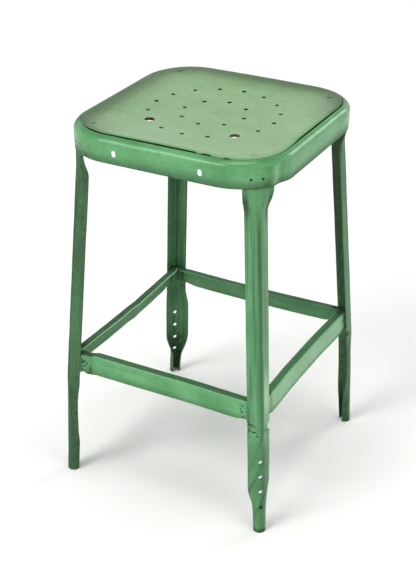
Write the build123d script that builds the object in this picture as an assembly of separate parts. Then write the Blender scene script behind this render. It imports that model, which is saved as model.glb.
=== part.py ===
from build123d import *
import os
from math import cos, degrees, pi, radians, sin, sqrt

# A square steel factory stool: a pressed pan with a board in it, four angle legs and four rails.
# Millimetres, +Z up, origin on the floor under the middle of the seat, front towards -Y.

# Seat pan, one pressed sheet
seat_height = 609.6
pan_width = 352.0
pan_corner_radius = 85.0
pan_shoulder_radius = 10.5
pan_sheet = 1.2
skirt_depth = 39.5
rim_width = 11.0
recess_depth = 2.4
dish_depth = 7.0
dish_margin = 13.0

# Board in the recess
panel_thickness = 3.2
panel_edge_gap = 1.6
panel_clearance = 0.2
panel_edge_round = 0.9

# Holes through the board and the deck
outer_ring_radius = 100.0
outer_ring_count = 16
inner_ring_radius = 50.5
inner_ring_count = 8
vent_diameter = 6.5
large_vent_diameter = 16.0
large_vent_angles = (225.0, 315.0)

# Flush rivets of the board
rivet_inset = 14.0
rivet_head_diameter = 9.0
rivet_head_depth = 1.4
rivet_shank_diameter = 4.0
rivet_tail_diameter = 7.0
rivet_tail_height = 1.8
rivet_clearance = 0.1

# Slots in the front of the skirt and weld pits at its corners
slot_spacing = 140.0
slot_width = 6.5
slot_height = 10.0
slot_drop = 22.5
pit_spacing = 17.5
pit_diameter = 3.0
pit_drop = 25.0

# Legs, bent from one width of strip; the rolled share is the part of its width in the arc of top and foot
leg_sheet = 2.0
leg_flange = 25.5
leg_fold_radius = 6.0
leg_splay = 24.0
foot_splay = 6.8
leg_lap_clearance = 0.2
leg_top_margin = 2.0
flare_length = 34.0
foot_tube_height = 31.0
foot_roll_height = 32.0
foot_slit_angle = 64.0
rolled_share = 0.97
flare_steps = 4
roll_steps = 5
leg_hole_diameter = 6.5
leg_hole_count = 4
leg_hole_pitch = 27.0
leg_hole_height = 46.0
notch_depth = 7.0
notch_opening = 5.0

# Rails, angle section
rail_top_height = 226.0
rail_height = 33.5
rail_ledge = 14.0
rail_sheet = 1.9
rail_inner_radius = 1.1
rail_setback = 7.5
rail_joggle_length = 13.0
rail_tab_lead = 6.0
rail_tab_end_gap = 3.0
rail_lap_clearance = 0.2
rail_mitre_gap = 0.6
bend_below_rail = 8.0

# Weld beads
rail_bead = 3.0
pan_bead = 1.8

# Sizes worked out from the above
pan_half = pan_width / 2
corner_centre = pan_half - pan_corner_radius
recess_half = pan_half - rim_width
panel_half = recess_half - panel_edge_gap
deck_height = seat_height - panel_thickness - panel_clearance
rim_height = deck_height + recess_depth
skirt_height = rim_height - skirt_depth
dish_radius = recess_half - dish_margin
panel_base = deck_height + panel_clearance
cut_margin = 2 * panel_thickness

panel_corner_radius = pan_corner_radius - rim_width - panel_edge_gap
rivet_reach = corner_centre * sqrt(2) + panel_corner_radius - rivet_inset

strip_width = 2 * (leg_flange - leg_fold_radius) + leg_fold_radius * pi / 2
angle_turn = 90.0
angle_share = leg_fold_radius * radians(angle_turn) / strip_width
leg_top_radius = pan_corner_radius - pan_sheet - leg_lap_clearance
leg_top_turn = degrees(rolled_share * strip_width / leg_top_radius)
foot_turn = 360.0 - foot_slit_angle
leg_top = rim_height - pan_shoulder_radius - leg_top_margin
flare_top = skirt_height - 2 * pan_bead
flare_bottom = flare_top - flare_length
rail_bottom_height = rail_top_height - rail_height
rail_fold_radius = rail_inner_radius + rail_sheet
bend_height = rail_bottom_height - bend_below_rail
leg_slope = leg_splay / (flare_top - bend_height)
fold_setback = leg_fold_radius * (1 - cos(radians(angle_turn / 2)))


def rounded_block(half, low, high):
    """Upright block with the pan's plan shape, offset to the given half width."""
    radius = pan_corner_radius - (pan_half - half)
    plan = RectangleRounded(2 * half, 2 * half, radius)
    return extrude(Pos(0, 0, low) * plan, high - low)


def dish_cap(level):
    """Shallow spherical cap hanging below a level: the dish pressed into the deck."""
    sphere_radius = (dish_radius**2 + dish_depth**2) / (2 * dish_depth)
    half_angle = Vector(dish_radius, sphere_radius - dish_depth).get_angle(Vector(0, 1)) / 2
    middle_x = sphere_radius * sin(radians(half_angle))
    middle_z = level - dish_depth + sphere_radius * (1 - cos(radians(half_angle)))
    rim = (dish_radius, 0, level)
    lowest = (0, 0, level - dish_depth)
    arc = ThreePointArc(lowest, (middle_x, 0, middle_z), rim)
    outline = Wire([arc, Line(rim, (0, 0, level)), Line((0, 0, level), lowest)])
    return revolve(Face(outline), Axis.Z)


def vent_holes():
    """Drills for the two rings of holes; two of the outer ring, near the front corners, are large."""
    low = deck_height - dish_depth - cut_margin
    high = seat_height + cut_margin
    large = [round(outer_ring_count * angle / 360.0) for angle in large_vent_angles]
    drills = []
    for ring_radius, count in ((outer_ring_radius, outer_ring_count), (inner_ring_radius, inner_ring_count)):
        for index in range(count):
            is_large = ring_radius == outer_ring_radius and index in large
            diameter = large_vent_diameter if is_large else vent_diameter
            angle = radians(360.0 * index / count)
            place = Pos(ring_radius * cos(angle), ring_radius * sin(angle), (low + high) / 2)
            drills.append(place * Cylinder(diameter / 2, high - low))
    return drills


def rivet_places():
    """Middle and corner rivets, each with the level of the board's top there."""
    places = [(0.0, 0.0, seat_height - dish_depth)]
    for quarter in range(4):
        angle = radians(45.0 + 90.0 * quarter)
        places.append((rivet_reach * cos(angle), rivet_reach * sin(angle), seat_height))
    return places


def rivet(x, y, top, clearance):
    """One countersunk rivet with its tail under the deck, or its hole when given a clearance."""
    head = rivet_head_diameter / 2 + clearance
    shank = rivet_shank_diameter / 2 + clearance
    grip = panel_thickness + panel_clearance + pan_sheet
    points = [
        (0, 0, top),
        (head, 0, top),
        (shank, 0, top - rivet_head_depth),
        (shank, 0, top - grip),
        (0, 0, top - grip),
    ]
    body = revolve(Face(Wire(Polyline(*points, close=True).edges())), Axis.Z)
    return Pos(x, y, 0) * body


def rivet_with_tail(x, y, top):
    """A set rivet: countersunk head, shank and upset tail."""
    under = top - panel_thickness - panel_clearance - pan_sheet
    tail = Pos(x, y, under - rivet_tail_height / 2) * Cylinder(rivet_tail_diameter / 2, rivet_tail_height)
    return rivet(x, y, top, 0.0) + tail


def seat_pan():
    """Pressed pan: skirt, rounded shoulder, rim, shallow recess and dished deck, one sheet thick."""
    outside = rounded_block(pan_half, skirt_height, rim_height)
    outside = fillet(outside.edges().group_by(Axis.Z)[-1], pan_shoulder_radius)
    inside = rounded_block(pan_half - pan_sheet, skirt_height - cut_margin, rim_height - pan_sheet)
    inside = fillet(inside.edges().group_by(Axis.Z)[-1], pan_shoulder_radius - pan_sheet)
    deck_body = rounded_block(recess_half + pan_sheet, deck_height - pan_sheet, rim_height + cut_margin)
    deck_body = deck_body + dish_cap(deck_height - pan_sheet)
    pocket = rounded_block(recess_half, deck_height, rim_height + cut_margin) + dish_cap(deck_height)
    pan = outside - (inside - deck_body) - pocket
    pan = pan - vent_holes() - [rivet(*place, rivet_clearance) for place in rivet_places()]
    return pan - skirt_slots() - weld_pits()


def skirt_slots():
    """Cutters for the two upright slots in the front of the skirt."""
    level = rim_height - slot_drop
    slot = Plane.XZ * SlotOverall(slot_height, slot_width, rotation=90)
    cutter = extrude(slot, cut_margin, both=True)
    return [Pos(side * slot_spacing / 2, -pan_half, level) * cutter for side in (-1, 1)]


def weld_pits():
    """Cutters for the plug-weld pits, a pair at each corner, through the skirt to the leg behind."""
    level = rim_height - pit_drop
    depth = pan_sheet + leg_lap_clearance / 2
    half_angle = degrees(pit_spacing / 2 / pan_corner_radius)
    drill = Pos(pan_corner_radius, 0, 0) * Rot(0, 90, 0) * Cylinder(pit_diameter / 2, 2 * depth)
    pits = []
    for quarter in range(4):
        for side in (-1, 1):
            at_corner = Pos(corner_centre, corner_centre, level)
            pits.append(Rot(0, 0, 90 * quarter) * at_corner * Rot(0, 0, 45 + side * half_angle) * drill)
    return pits


def seat_panel():
    """Thin board that follows the dish, with a rounded top edge."""
    board = rounded_block(panel_half, panel_base, seat_height)
    board = fillet(board.edges().group_by(Axis.Z)[-1], panel_edge_round)
    board = board + dish_cap(panel_base) - dish_cap(seat_height)
    return board - vent_holes() - [rivet(*place, rivet_clearance) for place in rivet_places()]


def leg_apex(height):
    """How far the fold stands from the middle planes at a height."""
    top_apex = corner_centre + leg_top_radius * cos(radians(45.0))
    if height >= flare_top:
        return top_apex
    if height >= bend_height:
        return top_apex + leg_slope * (flare_top - height)
    return top_apex + leg_splay + foot_splay * (bend_height - height) / bend_height


def leg_face(height):
    """How far the outer face of a leg's flange stands from the middle plane, where it is an angle."""
    return leg_apex(height) + fold_setback


def strip_section(height, turn, share):
    """Level section of the leg: strip bent through a turn, with a share of its width in the arc."""
    radius = strip_width * share / radians(turn)
    flat = strip_width * (1 - share) / 2
    half_turn = radians(turn) / 2
    centre = leg_apex(height) * sqrt(2) - radius

    def point(depth, angle, along):
        out = centre + (radius - depth) * cos(angle) - along * sin(angle)
        across = (radius - depth) * sin(angle) + along * cos(angle)
        return Vector((out - across) / sqrt(2), (out + across) / sqrt(2), height)

    edges = []
    for depth, way in ((0.0, 1), (leg_sheet, -1)):
        start = point(depth, -way * half_turn, -way * flat)
        arc_start = point(depth, -way * half_turn, 0)
        arc_end = point(depth, way * half_turn, 0)
        end = point(depth, way * half_turn, way * flat)
        edges.append(Line(start, arc_start))
        edges.append(ThreePointArc(arc_start, point(depth, 0, 0), arc_end))
        edges.append(Line(arc_end, end))
        edges.append(Line(end, point(leg_sheet - depth, way * half_turn, way * flat)))
    return Face(Wire(edges))


def blend_sections(high, low, turn_high, share_high, turn_low, share_low, steps):
    """Sections that bend the strip step by step between two heights, without the first."""
    sections = []
    for step in range(1, steps + 1):
        part = step / steps
        turn = turn_high + (turn_low - turn_high) * part
        share = share_high + (share_low - share_high) * part
        sections.append(strip_section(high + (low - high) * part, turn, share))
    return sections


def leg():
    """Leg of the rear right corner: open top in the pan's corner, angle, bend and rolled foot."""
    top = (leg_top_turn, rolled_share)
    angle = (angle_turn, angle_share)
    foot = (foot_turn, rolled_share)
    foot_top = foot_tube_height + foot_roll_height
    sections = [strip_section(leg_top, *top), strip_section(flare_top, *top)]
    sections += blend_sections(flare_top, flare_bottom, *top, *angle, flare_steps)
    sections += [strip_section(bend_height, *angle), strip_section(foot_top, *angle)]
    sections += blend_sections(foot_top, foot_tube_height, *angle, *foot, roll_steps)
    sections.append(strip_section(0.0, *foot))
    return loft(sections, ruled=True) - leg_holes() - leg_notches()


def leg_holes():
    """Drills through the fold, along the leg's diagonal."""
    drills = []
    for index in range(leg_hole_count):
        height = leg_hole_height + index * leg_hole_pitch
        place = Pos(leg_apex(height), leg_apex(height), height)
        drills.append(place * Rot(0, 0, 45) * Rot(0, 90, 0) * Cylinder(leg_hole_diameter / 2, leg_flange))
    return drills


def leg_notches():
    """Wedges cut from both flanges where the leg bends."""
    face = leg_face(bend_height)
    tip = face - leg_flange
    outline = Polyline(
        (tip - notch_depth, notch_opening),
        (tip + notch_depth, 0),
        (tip - notch_depth, -notch_opening),
        close=True,
    )
    wedge = extrude(Plane.YZ * Face(Wire(outline.edges())), 2 * leg_sheet, both=True)
    wedge = Pos(face, 0, bend_height) * wedge
    return [wedge, mirror(wedge, Plane((0, 0, 0), z_dir=(1, -1, 0)))]


def rail_section():
    """Angle section of a rail: leaning web outside, level ledge inside, round fold between."""
    lean = leg_slope * rail_height
    outer_corner = (0, rail_top_height)
    inner_corner = (rail_sheet - leg_slope * rail_sheet, rail_top_height - rail_sheet)
    outline = Polyline(
        outer_corner,
        (-lean, rail_bottom_height),
        (rail_sheet - lean, rail_bottom_height),
        inner_corner,
        (rail_ledge, rail_top_height - rail_sheet),
        (rail_ledge, rail_top_height),
        close=True,
    )
    section = make_face(outline.edges())
    section = fillet(section.vertices().sort_by_distance(outer_corner)[0], rail_fold_radius)
    section = fillet(section.vertices().sort_by_distance(inner_corner)[0], rail_inner_radius)
    return Plane.YZ * section


def rail_stations():
    """Places along the rail where its line turns: half length and outer face distance."""
    face = leg_face(rail_top_height)
    lap = face - leg_sheet - rail_lap_clearance
    tab_start = leg_face(rail_bottom_height) - leg_flange - rail_tab_lead
    tab_end = lap - rail_sheet - rail_tab_end_gap
    joggle_start = tab_start - rail_joggle_length
    return [(tab_end, lap), (tab_start, lap), (joggle_start, face - rail_setback)]


def rail():
    """Front rail: straight middle, ends joggled out to lap inside the leg flanges, mitred ledge."""
    section = rail_section()
    stations = rail_stations()
    sections = [Pos(-along, -out, 0) * section for along, out in stations]
    sections += [Pos(along, -out, 0) * section for along, out in reversed(stations)]
    bar = loft(sections, ruled=True)
    reach = stations[0][1]
    outline = Polyline(
        (reach - 2 * rail_ledge, -reach + 2 * rail_ledge - rail_mitre_gap),
        (reach + rail_ledge, -reach - rail_ledge - rail_mitre_gap),
        (reach + rail_ledge, -reach + 2 * rail_ledge - rail_mitre_gap),
        close=True,
    )
    corner = extrude(Face(Wire(outline.edges())), rail_top_height + rail_height)
    return bar - corner - mirror(corner, Plane.YZ)


def rail_weld():
    """Bead at the front rail's right end, in the corner of the tab and the leg flange's edge."""
    face = leg_face(rail_bottom_height)
    edge = face - leg_flange
    lap = face - leg_sheet - rail_lap_clearance
    corner = Vector(edge, -lap)
    along = Vector(edge - rail_bead, -lap)
    out = Vector(edge, -face)
    swell = Vector(edge - rail_bead * cos(radians(45)), -lap - (face - lap) * sin(radians(45)))
    outline = [Line(corner, along), ThreePointArc(along, swell, out), Line(out, corner)]
    shift = leg_slope * (rail_height - rail_fold_radius)
    foot = Pos(0, 0, rail_bottom_height) * Face(Wire(outline))
    return loft([foot, Pos(-shift, shift, rail_height - rail_fold_radius) * foot], ruled=True)


def pan_weld():
    """Bead under the skirt's edge at the rear right corner, against the leg's rounded top."""
    turn = leg_top_turn * rolled_share
    inner = (leg_top_radius, 0, skirt_height)
    outline = Polyline(
        inner,
        (pan_corner_radius, 0, skirt_height),
        (leg_top_radius, 0, skirt_height - pan_bead),
        close=True,
    )
    bead = revolve(Face(Wire(outline.edges())), Axis.Z, revolution_arc=turn)
    return Pos(corner_centre, corner_centre, 0) * Rot(0, 0, 45 - turn / 2) * bead


def around(shape):
    """Four copies of a shape, a quarter turn apart."""
    return [Rot(0, 0, 90 * quarter) * shape for quarter in range(4)]


def all_parts():
    """Every piece of the stool by name, groups of like pieces as one compound."""
    legs = dict(zip(("leg_rear_right", "leg_rear_left", "leg_front_left", "leg_front_right"), around(leg())))
    rails = dict(zip(("rail_front", "rail_right", "rail_rear", "rail_left"), around(rail())))
    bead = rail_weld()
    beads = around(bead) + around(mirror(bead, Plane.YZ))
    return {
        "seat_pan": seat_pan(),
        "seat_panel": seat_panel(),
        "panel_rivets": Compound(children=[rivet_with_tail(*place) for place in rivet_places()]),
        **legs,
        **rails,
        "rail_welds": Compound(children=beads),
        "pan_welds": Compound(children=around(pan_weld())),
    }


os.makedirs("parts", exist_ok=True)
for name, shape in all_parts().items():
    export_step(shape, f"parts/{name}.step")
    size = shape.bounding_box().size
    print(f"{name}: {len(shape.solids())} solids, {size.X:.1f} x {size.Y:.1f} x {size.Z:.1f} mm")
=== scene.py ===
# %% [markdown]
# # A brush-painted factory stool
# The construction model already holds every piece of this stool at its true size. In this lesson each
# piece is made again with the small things that the eye looks for: rounded sheet edges, a pressed
# shoulder, drilled holes with worn rims, rippled welds and old brush-painted enamel.
# All lengths below are named in millimetres and turned to metres at the last moment.

# %% Load the frame
import math
import bpy
import numpy as np
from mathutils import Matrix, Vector, noise


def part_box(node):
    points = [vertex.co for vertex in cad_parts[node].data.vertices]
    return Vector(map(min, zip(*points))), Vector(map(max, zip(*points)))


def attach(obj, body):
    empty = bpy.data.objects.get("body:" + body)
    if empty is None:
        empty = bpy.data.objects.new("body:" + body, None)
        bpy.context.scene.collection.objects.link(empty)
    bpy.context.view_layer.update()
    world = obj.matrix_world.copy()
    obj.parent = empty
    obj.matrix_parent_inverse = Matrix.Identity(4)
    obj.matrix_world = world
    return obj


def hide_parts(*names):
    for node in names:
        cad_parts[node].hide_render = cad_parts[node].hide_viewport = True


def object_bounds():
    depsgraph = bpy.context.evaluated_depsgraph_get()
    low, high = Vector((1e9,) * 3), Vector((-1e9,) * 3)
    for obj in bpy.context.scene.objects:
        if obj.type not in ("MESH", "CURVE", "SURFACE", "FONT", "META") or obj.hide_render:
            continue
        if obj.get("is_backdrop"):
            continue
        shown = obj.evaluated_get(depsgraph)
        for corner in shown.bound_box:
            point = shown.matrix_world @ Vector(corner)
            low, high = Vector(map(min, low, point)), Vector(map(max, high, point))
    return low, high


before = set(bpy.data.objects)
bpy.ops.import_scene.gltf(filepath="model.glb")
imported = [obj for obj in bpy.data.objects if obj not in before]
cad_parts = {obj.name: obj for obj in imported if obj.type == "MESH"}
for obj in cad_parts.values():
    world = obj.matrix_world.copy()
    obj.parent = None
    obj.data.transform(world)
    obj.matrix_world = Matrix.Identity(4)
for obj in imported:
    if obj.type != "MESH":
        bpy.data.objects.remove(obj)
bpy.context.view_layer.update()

MM = 0.001

# %% [markdown]
# ## Camera, floor and light
# The stool was photographed from its front right corner, from a little under thirty degrees above.
# A long lens keeps the legs nearly parallel. The floor is one pale sheet that fills the picture. Light
# comes from a pale room that is dimmer overhead, and from large soft lamps, so shadows stay faint.

# %% Camera: place in metres, angles in degrees, lens in millimetres
EYE, LOOK_DOWN, LOOK_TURN = (0.8543, -1.6165, 1.2962), 28.788, 28.145
SENSOR, LENS = 36.0, 78.77
scene = bpy.context.scene
scene.view_settings.view_transform = "Standard"
camera = bpy.data.objects.new("camera", bpy.data.cameras.new("camera"))
camera.data.sensor_width = SENSOR
camera.data.lens = LENS
camera.location = EYE
camera.rotation_euler = (math.radians(90.0 - LOOK_DOWN), 0.0, math.radians(LOOK_TURN))
scene.collection.objects.link(camera)
scene.camera = camera
print("camera", round(camera.location.length, 2), "m from the origin")


# %% Helpers for materials
def node(tree, kind, inputs=None, **settings):
    """Add a node. Settings are its properties. Inputs are values, or nodes and outputs to link from."""
    made = tree.nodes.new(kind)
    for key, value in settings.items():
        setattr(made, key, value)
    for key, value in (inputs or {}).items():
        if isinstance(value, bpy.types.Node):
            value = next(output for output in value.outputs if output.enabled)
        if isinstance(value, bpy.types.NodeSocket):
            tree.links.new(value, made.inputs[key])
        else:
            made.inputs[key].default_value = value
    return made


def colour(text):
    """Linear colour with alpha from an sRGB hex value."""
    parts = [int(text[i:i + 2], 16) / 255 for i in (0, 2, 4)]
    return tuple(p / 12.92 if p <= 0.04045 else ((p + 0.055) / 1.055) ** 2.4 for p in parts) + (1.0,)


def new_paint(name):
    """New material with an empty tree."""
    made = bpy.data.materials.new(name)
    made.use_nodes = True
    made.node_tree.nodes.clear()
    return made


def end_paint(made, inputs):
    """Close a material with its shader and output; what is the same all over sits on the shader itself."""
    shader = node(made.node_tree, "ShaderNodeBsdfPrincipled", inputs)
    node(made.node_tree, "ShaderNodeOutputMaterial", {"Surface": shader})
    print(made.name, "has", len(made.node_tree.nodes), "nodes")


# %% Floor, room and lamps
FLOOR_REACH, LAMP_DISTANCE = 9.0, 3.0
DIM_FROM, DIM_TO, ROOM_LIGHT, OVERHEAD_LIGHT = 0.26, 0.6, 1.1, 0.1
floor_mesh = bpy.data.meshes.new("floor")
floor_corners = [(x * FLOOR_REACH, y * FLOOR_REACH, 0) for x, y in ((-1, -1), (1, -1), (1, 1), (-1, 1))]
floor_mesh.from_pydata(floor_corners, [], [(0, 1, 2, 3)])
floor = bpy.data.objects.new("floor", floor_mesh)
scene.collection.objects.link(floor)
floor_paint = new_paint("pale_floor")
end_paint(floor_paint, {"Base Color": colour("F6F6F4"), "Roughness": 0.9})
floor.data.materials.append(floor_paint)
floor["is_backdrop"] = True

scene.world = bpy.data.worlds.new("pale_room")
scene.world.use_nodes = True
tree = scene.world.node_tree
tree.nodes.clear()
way = node(tree, "ShaderNodeTexCoord")
height = node(tree, "ShaderNodeSeparateXYZ", {0: way.outputs["Generated"]})
fade = {0: height.outputs["Z"], 1: DIM_FROM, 2: DIM_TO, 3: ROOM_LIGHT, 4: OVERHEAD_LIGHT}
dim = node(tree, "ShaderNodeMapRange", fade, interpolation_type="SMOOTHSTEP")
room = node(tree, "ShaderNodeBackground", {"Color": colour("FFFFFF"), "Strength": dim})
node(tree, "ShaderNodeOutputWorld", {"Surface": room})


def lamp(name, azimuth, elevation, spread, strength):
    """Far soft lamp aimed at the stool, at an azimuth from the front towards the right."""
    light = bpy.data.lights.new(name, "SUN")
    light.angle = math.radians(spread)
    light.energy = strength
    made = bpy.data.objects.new(name, light)
    turn, rise = math.radians(azimuth), math.radians(elevation)
    away = Vector((math.sin(turn) * math.cos(rise), -math.cos(turn) * math.cos(rise), math.sin(rise)))
    made.location = away * LAMP_DISTANCE
    made.rotation_euler = away.to_track_quat("Z", "Y").to_euler()
    scene.collection.objects.link(made)


lamp("front_lamp", azimuth=-26.0, elevation=38.0, spread=30.0, strength=1.6)
lamp("right_lamp", azimuth=76.0, elevation=34.0, spread=40.0, strength=0.52)
lamp("rear_lamp", azimuth=157.0, elevation=25.0, spread=22.0, strength=0.55)
lamp("top_lamp", azimuth=-20.0, elevation=86.0, spread=34.0, strength=1.25)

# %% [markdown]
# ## Sizes of the stool
# These are the sizes that the visible pieces share with the construction model. The width of the seat and
# the heights where pieces end are read from the model; the others are sizes of the sheet and its bends.
# The legs and rails are bent from strip, so most of their shape follows from a strip width, a thickness
# and a few heights.

# %% Shared sizes, in millimetres
def node_span(name, axis):
    """Lowest and highest place of a construction node along an axis, to a tenth of a millimetre."""
    return [round(corner[axis] / MM, 1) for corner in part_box(name)]


SEAT_TOP, LEG_TOP = [node_span(name, 2)[1] for name in ("seat_panel", "leg_front_left")]
SKIRT_FOOT, RIM_TOP = node_span("seat_pan", 2)
RAIL_FOOT, RAIL_TOP = node_span("rail_front", 2)
PAN_HALF = node_span("seat_pan", 0)[1]
PAN_CORNER, SHOULDER, PAN_SHEET, DECK_TOP, DISH_DEPTH = 85.0, 10.5, 1.2, 606.2, 7.0
FLARE_TOP, FLARE_FOOT, BEND, TUBE_TOP = 565.5, 531.5, 184.5, 31.0
CORNER_CENTRE = PAN_HALF - PAN_CORNER
print("seat", 2 * PAN_HALF, "mm wide,", SEAT_TOP, "mm high; foot ring at", RAIL_TOP)


# %% Helpers for shapes
def ease(value, start, end):
    """Smooth step from 0 at start to 1 at end."""
    t = np.clip((np.asarray(value, float) - start) / (end - start), 0.0, 1.0)
    return t * t * (3.0 - 2.0 * t)


def bump(value, centre, width):
    """Smooth bump, 1 at its centre and nearly 0 two widths away."""
    return np.exp(-((value - centre) / width) ** 2)


def side_by_side(*columns):
    """Points from their columns; a single number is repeated."""
    return np.column_stack(np.broadcast_arrays(*columns))


def waves(points, size, seed):
    """Gentle random height for each point, between -1 and 1, in waves of the given size."""
    shift = Vector((seed * 13.7, seed * 7.3, seed * 3.1))
    return np.array([noise.noise(Vector(p) / size + shift) for p in points])


def quarter_turned(points, quarter):
    """Points turned about the stool's middle by a number of quarters."""
    made = np.array(points, float)
    x, y = made[..., 0].copy(), made[..., 1].copy()
    c, s = round(math.cos(quarter * math.pi / 2)), round(math.sin(quarter * math.pi / 2))
    made[..., 0] = c * x - s * y
    made[..., 1] = s * x + c * y
    return made


def lattice(rows, columns, wrap_rows=False):
    """Quads of a grid of points that closes on itself along its columns, and along its rows on request."""
    faces = []
    for r in range(rows if wrap_rows else rows - 1):
        for c in range(columns):
            a, b = r * columns, (r + 1) % rows * columns
            d = (c + 1) % columns
            faces.append((a + c, a + d, b + d, b + c))
    return faces


def capped(rows, columns):
    """Faces of a tube of rings with a cap at both ends."""
    ends = [tuple(reversed(range(columns))), tuple((rows - 1) * columns + i for i in range(columns))]
    return lattice(rows, columns) + ends


def lathe(profile, sides):
    """Rings of points turned from a profile of radii and heights."""
    turns = np.linspace(0, 2 * math.pi, sides, endpoint=False)
    return [[(r * math.cos(a), r * math.sin(a), h) for a in turns] for r, h in profile]


# %% Helpers that make and hand over pieces
def build(name, points, faces, material=None, marks=None):
    """Mesh object from millimetre points. Marks are values for each point, kept on the face corners."""
    mesh = bpy.data.meshes.new(name)
    mesh.from_pydata((np.asarray(points) * MM).tolist(), [], faces)
    if material:
        mesh.materials.append(material)
    corner = np.zeros(len(mesh.loops), int)
    mesh.loops.foreach_get("vertex_index", corner)
    for key, values in (marks or {}).items():
        values = np.asarray(values, float)
        layer = mesh.attributes.new(key, "FLOAT_VECTOR" if values.ndim == 2 else "FLOAT", "CORNER")
        layer.data.foreach_set("vector" if values.ndim == 2 else "value", values[corner].ravel())
    made = bpy.data.objects.new(name, mesh)
    scene.collection.objects.link(made)
    return made


def shade(made, sharp):
    """Smooth faces, with edges sharper than the given angle kept crisp."""
    made.data.shade_smooth()
    made.data.set_sharp_from_angle(angle=math.radians(sharp))


def hand_over(made, slot, *nodes):
    """The finished piece rides on the stool and stands for its construction nodes."""
    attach(made, "root")
    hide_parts(*nodes)
    made.data.calc_loop_triangles()
    print(made.name, "has", len(made.data.loop_triangles), "triangles")


# %% [markdown]
# ## Finishes
# The steel was painted by brush with a green oil enamel, more than once. That gives a half-gloss skin with
# streaks that follow the brush, darker where the coat is thick, rubbed dark along sheet edges and rusty
# where water stood. Each steel piece carries marks: where a point lies on the flat strip, how near an edge
# is, where dirt and rust gather, and where shade, highlights and sheen are painted into the colour. The
# material mixes its colours by those marks.

# %% Patterns of the green brush enamel
def grain(*sizes):
    """Scales for a pattern whose grain has the given sizes in millimetres."""
    return [1.0 / (MM * size) for size in sizes]


enamel = new_paint("green_brush_enamel")
tree = enamel.node_tree
place = node(tree, "ShaderNodeTexCoord").outputs["Object"]
strip = node(tree, "ShaderNodeAttribute", attribute_name="sheet").outputs["Vector"]
mark = {}
for name in ("brushed", "edge", "grime_and_shade", "rust"):
    mark[name] = node(tree, "ShaderNodeAttribute", attribute_name=name).outputs["Fac"]
# Grain in millimetres, detail and roughness. Bristle streaks are drawn wider than real ones to show
pattern = {}
for name, source, sizes, detail, rough in (
    ("broad tone", place, (45, 45, 45), 4.0, 0.5),
    ("blotch", place, (8, 8, 8), 5.0, 0.7),
    ("stroke", strip, (7, 220, 60), 2.0, 0.5),
    ("streak", strip, (1.6, 150, 60), 4.0, 0.6),
    ("speck", place, (1.7, 1.7, 1.7), 1.0, 0.5),
    ("speck group", place, (28, 28, 28), 2.0, 0.5),
    ("broken", place, (6, 6, 6), 5.0, 0.65),
    ("orange peel", place, (3, 3, 3), 2.0, 0.5),
):
    at = node(tree, "ShaderNodeVectorMath", {0: source, 1: grain(*sizes)}, operation="MULTIPLY")
    look = {"Vector": at, "Scale": 1.0, "Detail": detail, "Roughness": rough}
    pattern[name] = node(tree, "ShaderNodeTexNoise", look)
# How much of a pattern shows, from the least at a low value of the noise to the most at a high one
share = {}
for name, source, low, high, least, most in (
    ("blotch", "blotch", 0.45, 0.75, 0.0, 0.4),
    ("thick stroke", "stroke", 0.42, 0.66, 0.0, 0.5),
    ("dark streak", "streak", 0.48, 0.6, 0.0, 1.0),
    ("streaky place", "stroke", 0.44, 0.58, 0.22, 1.0),
    ("thin streak", "streak", 0.42, 0.28, 0.0, 0.5),
    ("speck", "speck", 0.68, 0.76, 0.0, 0.75),
    ("speck group", "speck group", 0.5, 0.7, 0.0, 1.0),
):
    span = {0: pattern[source], 1: low, 2: high, 3: least, 4: most}
    share[name] = node(tree, "ShaderNodeMapRange", span, interpolation_type="SMOOTHSTEP")
print("patterns:", list(pattern))

# %% Layers of the green brush enamel
# One pattern breaks up the film of dirt and painted shade, the rubbed edges and the rust; pale wear, painted
# highlights and painted sheen lighten some lips, webs, flanges and ridges
shade_and_dirt_film = node(tree, "ShaderNodeMapRange", {0: pattern["broken"], 1: 0.25, 2: 0.75, 3: 0.65, 4: 1.0})
product = {}
for name, first, second in (
    ("stroke", share["thick stroke"], mark["brushed"]),
    ("place", share["dark streak"], share["streaky place"]),
    ("speck", share["speck"], share["speck group"]),
    ("shade_and_dirt_film", shade_and_dirt_film, mark["grime_and_shade"]),
    ("rub", pattern["broken"], mark["edge"]),
    ("bite", pattern["broken"], mark["rust"]),
    ("ridge", pattern["streak"], mark["brushed"]),
):
    product[name] = node(tree, "ShaderNodeMath", {0: first, 1: second}, operation="MULTIPLY")
streaks = node(tree, "ShaderNodeMath", {0: product["place"], 1: mark["brushed"]}, operation="MULTIPLY")
for name, low, high, most in (("rub", 0.28, 0.5, 0.8), ("bite", 0.26, 0.5, 0.9)):
    span = {0: product[name], 1: low, 2: high, 4: most}
    share[name] = node(tree, "ShaderNodeMapRange", span, interpolation_type="SMOOTHSTEP")
wear_and_sheen = node(tree, "ShaderNodeMapRange", {0: mark["edge"], 1: -0.2, 2: -1.0, 4: 0.75})
tone = node(tree, "ShaderNodeMapRange", {0: pattern["broad tone"], 1: 0.32, 2: 0.66})
coat = node(tree, "ShaderNodeMix", {0: tone, 6: colour("4A8A54"), 7: colour("5FA169")}, data_type="RGBA")
for amount, tint in (
    (share["blotch"], "3A7346"), (product["stroke"], "427F50"), (streaks, "2F5F48"),
    (share["thin streak"], "7DB688"), (product["speck"], "2C4631"), (product["shade_and_dirt_film"], "15300F"),
    (share["rub"], "39402F"), (wear_and_sheen, "A6CDA6"), (share["bite"], "33291D"),
):
    coat = node(tree, "ShaderNodeMix", {0: amount, 6: coat, 7: colour(tint)}, data_type="RGBA")
# Half gloss, duller under the film of dirt and painted shade; the skin shows brush ridges and a fine orange
# peel
gloss = node(tree, "ShaderNodeMapRange", {0: product["shade_and_dirt_film"], 3: 0.25, 4: 0.85})
skin = node(tree, "ShaderNodeMath", {0: product["ridge"], 1: pattern["orange peel"]}, operation="ADD")
relief = node(tree, "ShaderNodeBump", {"Strength": 0.35, "Distance": 0.25 * MM, "Height": skin})
end_paint(enamel, {"Base Color": coat, "Roughness": gloss, "Normal": relief, "Specular IOR Level": 0.45})

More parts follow.
